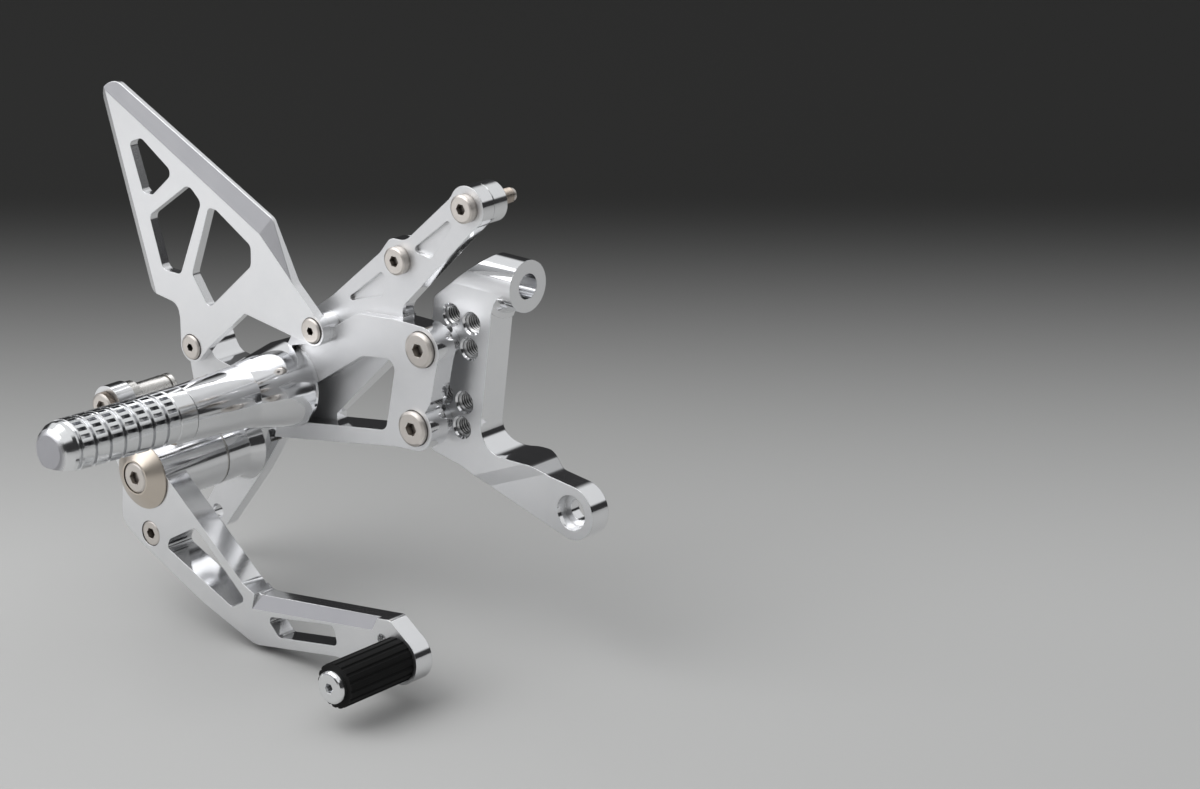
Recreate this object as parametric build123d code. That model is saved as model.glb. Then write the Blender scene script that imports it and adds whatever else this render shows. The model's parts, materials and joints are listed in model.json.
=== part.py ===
"""Rear-set footrest, brake side: hanger, bracket, foot peg, heel guard and brake pedal.

Millimetres. X points forward, Y inward to the motorcycle, Z up. The origin is the centre of the
upper frame bore, on the front face of its lug. The parts were measured in side views, so most of
them are side outlines (x, z, corner radius) given a thickness along Y.
"""
import os
from math import atan2, cos, degrees, hypot, radians, sin

from build123d import *

# Frame hanger
HANGER_OUT = -10.0
HANGER_THICKNESS = 12.5
UPPER_LUG_RADIUS = 10.25
UPPER_BORE_RADIUS = 5.0
UPPER_LUG_LENGTH = 30.0
UPPER_LUG_FLARE = 4.0
BAR_TILT = 7.5
BAR_WIDTH = 29.5
BAR_CENTRE = (-26.05, -21.15)
LOWER_LUG = (29.2, -81.7)
LOWER_LUG_RADIUS = 10.75
LOWER_LUG_THICKNESS = 10.5
LOWER_BORE_RADIUS = 4.25
LOWER_RECESS_RADIUS = 7.0
LOWER_RECESS_DEPTH = 6.0
ARM_ROOT_BULGE = 19.5
ARM_FACE_STEP = 1.2

# Bracket bolts and the threaded holes that they use
M8_RADIUS = 4.0
HOLE_PITCH = 10.6
BOLT_SPACING = 33.0
M8_HEAD_RADIUS = 7.0
M8_HEAD_HEIGHT = 4.6
M8_HEAD_PROUD = 2.0
M8_SOCKET = 5.0
THREAD_GAP = 0.05
MOUTH_CHAMFER = 0.7

# Main bracket
PLATE_OUT = -25.5
PLATE_IN = -13.5
FOOT_IN = -16.3
FOOT_BOSS_RADIUS = 9.2
FOOT_NOSE_RADIUS = 5.9
PAD_OUT = -28.0
WINDOW_SLOPE = 5.0
WINDOW_FLOOR = 6.2
TAIL_OUT = -19.5
EAR = (-155.8, -124.0)
EAR_RADIUS = 6.9
EAR_HOLE_RADIUS = 3.1
EAR_CLEARANCE = 13.5

# Foot peg and its sleeve, on an axis that rises toward the tip
PEG_ROOT = (-104.7, -55.1)
PEG_RISE = 2.4
PEG_LEAD = 0.7
SLEEVE_LENGTH = 57.0
SLEEVE_ROOT_RADIUS = 17.4
SLEEVE_WAIST = 25.0
SLEEVE_WAIST_RADIUS = 12.6
PEG_RADIUS = 11.0
PEG_COLLAR = 9.0
PEG_LENGTH = 66.0
PEG_DOME = 8.0
PEG_SEAM = 0.35
GROOVE_COUNT = 7
GROOVE_PITCH = 7.25
GROOVE_WIDTH = 1.5
GROOVE_DEPTH = 0.8
FIRST_GROOVE = 5.9
SLOT_COUNT = 10
SLOT_ANGLE = 16.0
SLOT_LENGTH = 4.2
SLOT_WIDTH = 1.6
SLOT_DEPTH = 1.6
SPIGOT_RADIUS = 6.0
SPIGOT_LENGTH = 10.0
SPIGOT_GAP = 0.05

# Heel guard
GUARD_THICKNESS = 4.0
GUARD_LEFT = (-154.1, -49.4)
GUARD_RIGHT = (-84.6, -27.8)
GUARD_LUG_RADIUS = 6.4
GUARD_REACH = 121.9
GUARD_HEIGHT = 87.3
BEVEL_SLOPE = 0.3
BEVEL_REACH = 16.0
M5_RADIUS = 2.5
M5_HEAD_RADIUS = 5.1
M5_HEAD_HEIGHT = 3.2
M5_HEAD_PROUD = 1.0
M5_GRIP = 12.0
M5_SOCKET = 3.0

# Master cylinder arm
ARM_OUT = -22.0
ARM_THICKNESS = 6.2
ARM_BOLTS = ((-45.7, 6.5), (-10.5, 33.6))
ARM_LUG_RADIUS = 8.4
POCKET_DEPTH = 1.6
M6_RADIUS = 3.0
M6_HEAD_RADIUS = 5.5
M6_HEAD_HEIGHT = 3.4
M6_SOCKET = 4.0
M6_LENGTH = 25.0
M6_ROOT_RADIUS = 2.6
HEAD_GAP = 0.25
COLLAR_RADIUS = 8.0
COLLAR_LENGTH = 8.4

# Brake pedal and its pivot
PIVOT = (-132.6, -85.9)
PEDAL_OUT = -79.4
PEDAL_THICKNESS = 12.5
PEDAL_CHAMFER = 3.4
TOE_THICKNESS = 8.5
HUB_RADIUS = 13.4
BOSS_END = -45.5
WASHER_THICKNESS = 1.0
SIDE_GAP = 0.1
HUB_BORE_RADIUS = 8.0
BUSH_LENGTH = 9.0
PIVOT_SLEEVE_RADIUS = 6.5
PIVOT_BOLT_RADIUS = 4.0
RUNNING_GAP = 0.04
SPRING_CAVITY_RADIUS = 11.4
SPRING_MEAN_RADIUS = 9.6
SPRING_WIRE = 1.6
SPRING_TURNS = 4.25
SPRING_TANG = 3.5
SPRING_HOLE_GAP = 0.4
CONE_BASE_RADIUS = 13.6
CONE_RIM_RADIUS = 7.1
CONE_HEIGHT = 4.6
CONE_FLOOR = 1.2
PIVOT_HEAD_RADIUS = 6.3
SPRING_PITCH = 2.0
STOP_PIN_RADIUS = 1.2
STOP_PIN_OFFSET = 11.9
STOP_PIN_ANGLE = 235.0
STOP_PIN_DEPTH = 6.0
NOTCH_DEPTH = 2.9
PEDAL_TRAVEL = 14.0
PLUG = (-129.8, -109.8)
PLUG_RADIUS = 5.1
PLUG_DEPTH = 4.8
PLUG_LENGTH = 6.0
PUSHROD = (-152.0, -61.5)
PUSHROD_LUG_RADIUS = 8.0
PUSHROD_PIN_RADIUS = 5.2
PUSHROD_PIN_LENGTH = 20.0
PUSHROD_FLANGE_RADIUS = 7.0
PUSHROD_FLANGE = 5.0
KNURLED_HEAD_RADIUS = 5.6
KNURLED_HEAD_HEIGHT = 3.2
TOE = (5.0, -125.7)
TOE_RADIUS = 10.0
TOE_RUBBER_RADIUS = 8.7
TOE_RUBBER_LENGTH = 32.5
TOE_LOBES = 17
TOE_CORE_RADIUS = 5.0
TOE_CAP_RADIUS = 6.4
TOE_CAP_HEIGHT = 3.2
TOE_SOCKET = 3.6
FACET_START = (-70.0, -126.2)
FACET_END = (-7.8, -117.4)
FACET_SLOPE = 0.4
FACET_REACH = 12.0


def outline(corners):
    """Closed face from corners given as x, z and corner radius."""
    points = [(x, z) for x, z, radius in corners]
    return make_face(FilletPolyline(*points, radius=[radius for x, z, radius in corners], close=True))


def plate(face, outer, thickness):
    """Side outline made into a plate that runs inward from its outer face."""
    return extrude(Plane.XZ.offset(-outer) * face, amount=-thickness)


def rod(centre, radius, outer, length):
    """Round bar along Y that runs inward from its outer end."""
    return plate(Pos(*centre) * Circle(radius), outer, length)


def turned(centre, profile):
    """Revolved piece about a Y axis, from a profile of radius and y."""
    face = make_face(Polyline(*profile, close=True))
    return Pos(centre[0], 0, centre[1]) * revolve(Plane.XY * face, Axis.Y)


def polar(centre, radius, angle):
    """Point at an angle round a centre in the side view."""
    return (centre[0] + radius * cos(radians(angle)), centre[1] + radius * sin(radians(angle)))


def socket(centre, outer, across_flats, depth):
    """Hexagon socket cut from an outer face."""
    return plate(Pos(*centre) * RegularPolygon(across_flats / 2, 6, major_radius=False), outer, depth)


def bolt(centre, seat, head_radius, head_height, shank_radius, length, across_flats):
    """Socket bolt along Y with a bevelled head on a seat and a bevelled tip."""
    bevel = 0.15 * head_radius
    profile = [
        (0, seat - head_height),
        (head_radius - bevel, seat - head_height),
        (head_radius, seat - head_height + bevel / 2),
        (head_radius, seat),
        (shank_radius - THREAD_GAP, seat),
        (shank_radius - THREAD_GAP, seat + length - bevel),
        (shank_radius - THREAD_GAP - bevel / 2, seat + length),
        (0, seat + length),
    ]
    body = turned(centre, profile)
    return body - socket(centre, seat - head_height, across_flats, 0.6 * head_height)


def laid_along(start, end, y, section, reach):
    """Bar laid both ways along a line of the side view, with a section of y and height above the line."""
    rise = degrees(atan2(end[1] - start[1], end[0] - start[0]))
    face = make_face(Polyline(*section, close=True))
    return Pos(start[0], y, start[1]) * Rot(0, -rise, 0) * extrude(Plane.YZ * face, reach, both=True)


def on_bar(across, along):
    """Point of the hanger's tilted bar, from the centre of its upper hole group."""
    tilt = radians(BAR_TILT)
    return (
        BAR_CENTRE[0] + across * cos(tilt) + along * sin(tilt),
        BAR_CENTRE[1] - across * sin(tilt) + along * cos(tilt),
    )


def bar_at(across, height):
    """Point of a long edge of the bar at a given height."""
    tilt = radians(BAR_TILT)
    return on_bar(across, (height - BAR_CENTRE[1] + across * sin(tilt)) / cos(tilt))


def hole_group(along):
    """Centres of a square group of four threaded holes."""
    half = HOLE_PITCH / 2
    return [on_bar(across, along + rise) for across in (-half, half) for rise in (-half, half)]


HOLES = hole_group(0) + hole_group(-BOLT_SPACING)
BRACKET_BOLTS = (HOLES[0], HOLES[4])
HANGER_IN = HANGER_OUT + HANGER_THICKNESS
HUB_IN = BOSS_END - WASHER_THICKNESS - SIDE_GAP
CAVITY_FLOOR = HUB_IN - 13.5
CONE_BASE = PEDAL_OUT - SIDE_GAP
PEG_PLANE = Plane(
    origin=(PEG_ROOT[0], PAD_OUT, PEG_ROOT[1]),
    z_dir=(sin(radians(PEG_LEAD)), -cos(radians(PEG_RISE)), sin(radians(PEG_RISE))),
    x_dir=(1, 0, 0),
)


def frame_hanger():
    """Upper lug, tilted bar and arm with the lower lug, in one piece."""
    slope_top = (-12.3, 12.0)
    slope_end = bar_at(-BAR_WIDTH / 2, -9.6)
    slope_foot = slope_top[0] - slope_top[1] * (slope_top[0] - slope_end[0]) / (slope_top[1] - slope_end[1])
    low_corner = bar_at(-BAR_WIDTH / 2, -71.8)
    inner_corner = bar_at(BAR_WIDTH / 2, -67.6)
    neck = bar_at(BAR_WIDTH / 2, 0)
    lug_low = polar(LOWER_LUG, LOWER_LUG_RADIUS, -105.5)
    lug_high = polar(LOWER_LUG, LOWER_LUG_RADIUS, 83)
    bar = outline([
        (slope_foot, 0, 0), (*slope_end, 4), (*low_corner, 9), (-26.5, -75.6, 25),
        (-10, -81.6, 30), (*lug_low, 0), (*LOWER_LUG, 0), (*lug_high, 0),
        (17.2, -69.4, 14), (8.8, -67.2, 10), (*inner_corner, 10), (*neck, 0),
    ])
    split_height = inner_corner[1] + 11
    reach = ARM_ROOT_BULGE + 5
    above = Pos(0, HANGER_OUT + reach / 2, split_height + 50) * Box(200, reach, 100)
    below = Pos(0, HANGER_OUT + reach / 2, split_height - 50) * Box(200, reach, 100)
    bulge = HANGER_OUT + ARM_ROOT_BULGE
    lug_in = HANGER_OUT + LOWER_LUG_THICKNESS
    plan = outline([
        (-60, HANGER_OUT, 0), (60, HANGER_OUT, 0), (60, lug_in, 0), (17.5, lug_in, 8),
        (3, bulge, 8), (-3, bulge, 8), (-15.8, HANGER_IN, 0), (-60, HANGER_IN, 0),
    ])
    arm = plate(bar, HANGER_OUT, reach) & below & Pos(0, 0, -110) * extrude(plan, 90)
    body = plate(bar, HANGER_OUT, HANGER_THICKNESS) & above
    body += arm + rod(LOWER_LUG, LOWER_LUG_RADIUS, HANGER_OUT, LOWER_LUG_THICKNESS)
    lug_plane = Plane(origin=(0, 0, 0), x_dir=(0, 1, 0), z_dir=(-1, 0, 0))
    lug = extrude(lug_plane * Circle(UPPER_LUG_RADIUS), UPPER_LUG_LENGTH)
    flare_profile = Polyline(
        (neck[0] - 4, 0),
        (neck[0] - 4, UPPER_LUG_RADIUS + UPPER_LUG_FLARE),
        (neck[0] - 1.2, UPPER_LUG_RADIUS + UPPER_LUG_FLARE),
        (neck[0] - 0.3, UPPER_LUG_RADIUS + 0.45 * UPPER_LUG_FLARE),
        (neck[0] + 1.6, UPPER_LUG_RADIUS + 0.12 * UPPER_LUG_FLARE),
        (neck[0] + 4.6, UPPER_LUG_RADIUS - 0.05),
        (neck[0] + 4.6, 0),
        close=True,
    )
    flare = revolve(make_face(flare_profile), Axis.X)
    flare &= Pos(-10, HANGER_OUT + HANGER_THICKNESS / 2, -10) * Box(30, HANGER_THICKNESS, 20)
    behind = make_face(Polyline((4, 30), slope_top, slope_end, (-60, slope_end[1]), (-60, 30), close=True))
    body = body + lug + flare - plate(behind, -40, 80)
    crease_section = [(0, 5.6), (ARM_FACE_STEP, 0), (ARM_FACE_STEP, -45), (-2, -45), (-2, 5.6)]
    body -= laid_along((-12.9, -81.2), (18.2, -68.3), HANGER_OUT, crease_section, 60)
    body -= extrude(lug_plane * Circle(UPPER_BORE_RADIUS), 2 * UPPER_LUG_LENGTH)
    body -= rod(LOWER_LUG, LOWER_BORE_RADIUS, HANGER_OUT, LOWER_LUG_THICKNESS)
    body -= rod(LOWER_LUG, LOWER_RECESS_RADIUS, HANGER_OUT, LOWER_RECESS_DEPTH)
    for hole in HOLES:
        body -= rod(hole, M8_RADIUS, HANGER_OUT, HANGER_THICKNESS)
        mouth = [
            (0, HANGER_OUT), (M8_RADIUS + MOUTH_CHAMFER, HANGER_OUT),
            (M8_RADIUS, HANGER_OUT + MOUTH_CHAMFER), (0, HANGER_OUT + MOUTH_CHAMFER),
        ]
        body -= turned(hole, mouth)
    return body


def bracket_bolts():
    """Two M8 bolts that hold the bracket to the hanger."""
    seat = PLATE_OUT - M8_HEAD_PROUD + M8_HEAD_HEIGHT
    return [
        bolt(centre, seat, M8_HEAD_RADIUS, M8_HEAD_HEIGHT, M8_RADIUS, HANGER_IN - seat, M8_SOCKET)
        for centre in BRACKET_BOLTS
    ]


def sleeve_body():
    """Sleeve of the foot peg with its wide root, along the peg's axis."""
    profile = Polyline(
        (0, -8), (SLEEVE_ROOT_RADIUS, -8), (SLEEVE_ROOT_RADIUS, 0), (SLEEVE_WAIST_RADIUS, SLEEVE_WAIST),
        (PEG_RADIUS, SLEEVE_LENGTH), (0, SLEEVE_LENGTH), close=True,
    )
    return PEG_PLANE * revolve(Plane.XZ * make_face(profile), Axis.Z)


def main_bracket():
    """Plate with its window, pad, sleeve, pivot boss, tail ear and master cylinder arm."""
    upper, lower = BRACKET_BOLTS
    thickness = PLATE_IN - PLATE_OUT
    plate_outline = outline([
        (-101, -38.5, 0), (-84.9, -30.4, 12), (-66, -18.3, 10),
        (-46, -16.6, 0), (-46, -68.2, 0), (-114.2, -80.1, 0),
    ])
    foot_outline = outline([
        (-47, upper[1] + FOOT_BOSS_RADIUS, 0), (upper[0], upper[1] + FOOT_BOSS_RADIUS, 0),
        (upper[0] + FOOT_BOSS_RADIUS, upper[1], 0), (-27.4, -46, 4), (lower[0] + 5, lower[1] + 6, 0),
        (lower[0], lower[1] - FOOT_BOSS_RADIUS, 0), (-47, lower[1] - FOOT_BOSS_RADIUS - 0.6, 0),
    ])
    body = plate(plate_outline, PLATE_OUT, thickness)
    body += plate(foot_outline, PLATE_OUT, FOOT_IN - PLATE_OUT)
    for centre in BRACKET_BOLTS:
        body += rod(centre, FOOT_BOSS_RADIUS, PLATE_OUT, FOOT_IN - PLATE_OUT)
        body += rod(centre, FOOT_NOSE_RADIUS, FOOT_IN, HANGER_OUT - FOOT_IN)
    pad_thickness = PLATE_IN - PAD_OUT
    pad = outline([
        (-99.9, -37.9, 0), (-110, -60.1, 0), (-130.3, -101.1, 3), (-146, -96, 8), (-157.2, -70, 10),
        (-160.2, -55, 6), (*polar(GUARD_LEFT, GUARD_LUG_RADIUS, 180), 0), (*GUARD_LEFT, 0),
        (*polar(GUARD_LEFT, GUARD_LUG_RADIUS, 5), 0), (-145.3, -53, 6), (-135, -54.6, 3), (-112, -45, 2),
    ])
    body += plate(pad, PAD_OUT, pad_thickness)
    body += rod(GUARD_LEFT, GUARD_LUG_RADIUS - 0.3, PAD_OUT, pad_thickness)
    seat = outline([
        (*polar(GUARD_RIGHT, 6, -60), 0), (*polar(GUARD_RIGHT, 6, 100), 0), (-97, -28, 2), (-107, -46, 0),
        (-101.5, -41.4, 0), (-99.9, -37.9, 0),
    ])
    body += plate(seat, PAD_OUT, pad_thickness)
    body += rod(GUARD_RIGHT, 6, PAD_OUT, pad_thickness)
    body += sleeve_body()
    boss = [
        (0, BOSS_END), (HUB_RADIUS, BOSS_END), (HUB_RADIUS, PAD_OUT - 6),
        (HUB_RADIUS + 2.4, PAD_OUT), (0, PAD_OUT),
    ]
    body += turned(PIVOT, boss)
    tail = outline([
        (-118, -84, 0), (-128.5, -99.9, 0), (*polar(EAR, EAR_RADIUS, -25), 0), (*EAR, 0),
        (*polar(EAR, EAR_RADIUS, 140), 0), (-146, -96, 0),
    ])
    body += plate(tail, TAIL_OUT, PLATE_IN - TAIL_OUT)
    body += rod(EAR, EAR_RADIUS, TAIL_OUT, PLATE_IN - TAIL_OUT)
    body -= rod(EAR, EAR_CLEARANCE, PAD_OUT - 1, TAIL_OUT - PAD_OUT + 1)
    body += master_arm()
    return body - bracket_cuts()


def master_arm():
    """Arm that carries the master cylinder on two bolts."""
    low, high = ARM_BOLTS
    arm = outline([
        (-95.1, -24.2, 0), (-82.2, -14.9, 20), (-56.4, 7.2, 6),
        (low[0] - 5, low[1] + ARM_LUG_RADIUS - 0.6, 5), (low[0] + 3, low[1] + ARM_LUG_RADIUS - 0.4, 8),
        (-19.6, 35.2, 4), (*polar(high, ARM_LUG_RADIUS, 125), 0), (*high, 0),
        (*polar(high, ARM_LUG_RADIUS, -35), 0), (-32.9, -0.2, 20), (-45.2, -12.4, 6),
        (-44, -20, 0), (-90, -34, 0),
    ])
    body = plate(arm, ARM_OUT, ARM_THICKNESS)
    body += rod(high, ARM_LUG_RADIUS, ARM_OUT, ARM_THICKNESS)
    upper_pocket = outline([(-39.8, 11.4, 1.5), (-20.4, 26.9, 1.5), (-18.1, 25.3, 1.5), (-29.4, 10.2, 2)])
    lower_pocket = outline([(-77, -16.6, 1), (-55.4, 0.2, 1.2), (-54.3, -2, 0.8), (-55.5, -9.9, 1.2)])
    for pocket in (upper_pocket, lower_pocket):
        body -= plate(pocket, ARM_OUT, POCKET_DEPTH)
    for centre in ARM_BOLTS:
        body -= rod(centre, M6_RADIUS, ARM_OUT, ARM_THICKNESS)
    return body


def bracket_cuts():
    """Window, bores and threads of the bracket."""
    window = plate(outline([
        (-111.4, -66.4, 2.5), (-63.9, -35.2, 6), (-45.3, -32.6, 4), (-51.6, -62.8, 4), (-103.5, -71, 3),
    ]), PLATE_OUT - 1, 16)
    right_part = outline([(-40, -22, 0), (-56.4, -38.7, 0), (-85, -65.3, 0), (-85, -80, 0), (-40, -80, 0)])
    floor_plane = Pos(-82, PLATE_OUT + WINDOW_FLOOR, -52) * Rot(0, 0, -WINDOW_SLOPE)
    cuts = window & plate(right_part, PLATE_OUT - 1, 16)
    cuts += window & floor_plane * Pos(0, -10, 0) * Box(90, 20, 80)
    seat = PLATE_OUT - M8_HEAD_PROUD + M8_HEAD_HEIGHT
    for centre in BRACKET_BOLTS:
        cuts += rod(centre, M8_RADIUS + HEAD_GAP, PLATE_OUT, HANGER_OUT - PLATE_OUT)
        cuts += rod(centre, M8_HEAD_RADIUS + HEAD_GAP, PLATE_OUT, seat - PLATE_OUT)
    for centre in (GUARD_LEFT, GUARD_RIGHT):
        cuts += rod(centre, M5_RADIUS, PAD_OUT, PLATE_IN - PAD_OUT)
    cuts += rod(EAR, EAR_HOLE_RADIUS, TAIL_OUT, PLATE_IN - TAIL_OUT)
    cuts += rod(PIVOT, PIVOT_BOLT_RADIUS, BOSS_END, PLATE_IN - BOSS_END)
    cuts += rod(polar(PIVOT, STOP_PIN_OFFSET, STOP_PIN_ANGLE), STOP_PIN_RADIUS, BOSS_END, STOP_PIN_DEPTH)
    spring_hole = SPRING_WIRE / 2 + SPRING_HOLE_GAP
    cuts += rod(polar(PIVOT, SPRING_MEAN_RADIUS, 0), spring_hole, BOSS_END, SPRING_TANG + 0.5)
    cuts += PEG_PLANE * Pos(0, 0, -20) * extrude(Circle(M8_RADIUS + 0.25), SLEEVE_LENGTH + 21)
    cuts += PEG_PLANE * Pos(0, 0, -30) * extrude(Circle(M8_HEAD_RADIUS + 0.5), 24)
    spigot_hole = PEG_PLANE * Pos(0, 0, SLEEVE_LENGTH - SPIGOT_LENGTH - 1)
    cuts += spigot_hole * extrude(Circle(SPIGOT_RADIUS + SPIGOT_GAP), SPIGOT_LENGTH + 2)
    return cuts


def grip_cuts(first):
    """Ring grooves of the grip, and rows of short slots between them over its upper half."""
    ring = extrude(Circle(PEG_RADIUS + 1) - Circle(PEG_RADIUS - GROOVE_DEPTH), GROOVE_WIDTH)
    cuts = [Pos(0, 0, first + index * GROOVE_PITCH) * ring for index in range(GROOVE_COUNT)]
    slot = Pos(PEG_RADIUS - SLOT_DEPTH + 2, 0, 0) * Box(4, SLOT_WIDTH, SLOT_LENGTH)
    row_start = 90 - SLOT_ANGLE * (SLOT_COUNT - 1) / 2
    for row in range(GROOVE_COUNT):
        middle = first + (GROOVE_WIDTH - GROOVE_PITCH) / 2 + row * GROOVE_PITCH
        for index in range(SLOT_COUNT):
            cuts.append(Rot(0, 0, row_start + index * SLOT_ANGLE) * Pos(0, 0, middle) * slot)
    return cuts


def seam(place):
    """Fine V groove round the peg."""
    profile = Polyline(
        (PEG_RADIUS - PEG_SEAM, place), (PEG_RADIUS + 1, place - PEG_SEAM - 1),
        (PEG_RADIUS + 1, place + PEG_SEAM + 1), close=True,
    )
    return revolve(Plane.XZ * make_face(profile), Axis.Z)


def footpeg():
    """Foot peg: spigot, plain collar, and grip with a domed end and a flat underside."""
    start = SLEEVE_LENGTH
    end = start + PEG_LENGTH
    profile = [
        (0, start - SPIGOT_LENGTH), (SPIGOT_RADIUS, start - SPIGOT_LENGTH), (SPIGOT_RADIUS, start),
        (PEG_RADIUS - PEG_SEAM, start), (PEG_RADIUS, start + PEG_SEAM), (PEG_RADIUS, end - PEG_DOME),
        (PEG_RADIUS - 0.7, end - 0.56 * PEG_DOME), (PEG_RADIUS - 2.4, end - 0.2 * PEG_DOME),
        (PEG_RADIUS - 4.6, end), (0, end),
    ]
    body = revolve(Plane.XZ * make_face(Polyline(*profile, close=True)), Axis.Z)
    grip = start + PEG_COLLAR
    body -= grip_cuts(grip + FIRST_GROOVE) + [seam(grip)]
    below = -PEG_RADIUS - 2
    under = make_face(Polyline(
        (start + 2.5, below), (grip, -7.6), (end + 1, -6.2), (end + 1, below), close=True,
    ))
    body -= extrude(Plane(origin=(0, 0, 0), x_dir=(0, 0, 1), z_dir=(-1, 0, 0)) * under, 15, both=True)
    body -= Pos(0, 0, start - SPIGOT_LENGTH) * extrude(Circle(M8_RADIUS), 26)
    return PEG_PLANE * body


def peg_bolt():
    """Hidden bolt from the back of the bracket into the peg."""
    head = -6
    profile = [
        (0, head - 7), (M8_HEAD_RADIUS - 0.5, head - 7), (M8_HEAD_RADIUS - 0.5, head),
        (M8_RADIUS - THREAD_GAP, head), (M8_RADIUS - THREAD_GAP, SLEEVE_LENGTH + 8), (0, SLEEVE_LENGTH + 8),
    ]
    body = revolve(Plane.XZ * make_face(Polyline(*profile, close=True)), Axis.Z)
    body -= Pos(0, 0, head - 7) * extrude(RegularPolygon(3, 6, major_radius=False), 4)
    return PEG_PLANE * body


def heel_guard():
    """Flat guard with three windows and a wide bevel along its free edge."""
    outer = PAD_OUT - GUARD_THICKNESS
    left, right = GUARD_LEFT, GUARD_RIGHT
    tip = (right[0] - GUARD_REACH, right[1] + GUARD_HEIGHT)
    shape = outline([
        (*tip, 6.8), (-177.6, -30.5, 4), (-161.5, -32.6, 5), (-160.4, -38.5, 8),
        (*polar(left, GUARD_LUG_RADIUS, 190), 0), (*left, 0), (*polar(left, GUARD_LUG_RADIUS, -40), 0),
        (-143.2, -46.7, 5), (-122.4, -28.6, 1.5), (*polar(right, GUARD_LUG_RADIUS, -118), 0), (*right, 0),
        (*polar(right, GUARD_LUG_RADIUS, 30), 0), (-94.6, -10.9, 8), (-107.2, 12.6, 5),
    ])
    body = plate(shape, outer, GUARD_THICKNESS)
    windows = [
        [
            (tip[0] + 20, tip[1] - 29.2, 2), (tip[0] + 27.3, tip[1] - 26.3, 3), (-161.2, 21.8, 3),
            (-173.8, 10.6, 3), (-179.4, 10.6, 2),
        ],
        [(-176.3, 1.6, 3), (-152.4, 18.9, 4), (-145.4, 12.6, 3), (-159, -19.8, 3), (-169.4, -19.8, 3)],
        [
            (-141.2, 11.5, 2.5), (-136.6, 11.1, 2), (-117.6, 0.2, 3),
            (-117.8, -8.2, 4), (-143, -30.8, 2.5), (-152.2, -18.2, 2.5),
        ],
    ]
    for window in windows:
        body -= plate(outline(window), outer, GUARD_THICKNESS)
    bevel = [(-1, 0), (-1, BEVEL_REACH), (BEVEL_SLOPE * BEVEL_REACH, BEVEL_REACH), (0, 0)]
    long_edge = ((tip[0] + 10.9, tip[1] - 12.2), (-112.5, 6))
    front_edge = ((-112.5, 6), (-91.5, -13.5))
    rear_edge = ((-174.2, -30.5), (tip[0] + 3.5, tip[1]))
    for start, end in (long_edge, front_edge, rear_edge):
        body -= laid_along(start, end, outer, bevel, 200)
    for centre in (left, right):
        body += rod(centre, GUARD_LUG_RADIUS, outer, GUARD_THICKNESS)
        body -= rod(centre, M5_RADIUS + 0.15, outer, GUARD_THICKNESS)
        body -= rod(centre, M5_HEAD_RADIUS + HEAD_GAP, outer, M5_HEAD_HEIGHT - M5_HEAD_PROUD)
    return body


def guard_bolts():
    """Two M5 bolts of the heel guard, their heads sunk in its lugs."""
    seat = PAD_OUT - GUARD_THICKNESS + M5_HEAD_HEIGHT - M5_HEAD_PROUD
    length = PAD_OUT + M5_GRIP - seat
    return [
        bolt(centre, seat, M5_HEAD_RADIUS, M5_HEAD_HEIGHT, M5_RADIUS, length, M5_SOCKET)
        for centre in (GUARD_LEFT, GUARD_RIGHT)
    ]


def master_bolts():
    """Two M6 bolts of the master cylinder, turned to the thread's root past their collars."""
    free = ARM_OUT + ARM_THICKNESS + COLLAR_LENGTH
    bolts = []
    for centre in ARM_BOLTS:
        body = bolt(centre, ARM_OUT, M6_HEAD_RADIUS, M6_HEAD_HEIGHT, M6_RADIUS, M6_LENGTH, M6_SOCKET)
        thread = Pos(*centre) * (Circle(M6_RADIUS) - Circle(M6_ROOT_RADIUS))
        bolts.append(body - plate(thread, free, M6_LENGTH))
    return bolts


def master_collars():
    """Two collars between the arm and the master cylinder."""
    back = ARM_OUT + ARM_THICKNESS
    bevel = 0.8
    profile = [
        (M6_RADIUS + 0.1, back), (COLLAR_RADIUS - bevel, back), (COLLAR_RADIUS, back + bevel),
        (COLLAR_RADIUS, back + COLLAR_LENGTH - bevel), (COLLAR_RADIUS - bevel, back + COLLAR_LENGTH),
        (M6_RADIUS + 0.1, back + COLLAR_LENGTH),
    ]
    return [turned(centre, profile) for centre in ARM_BOLTS]


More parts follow.
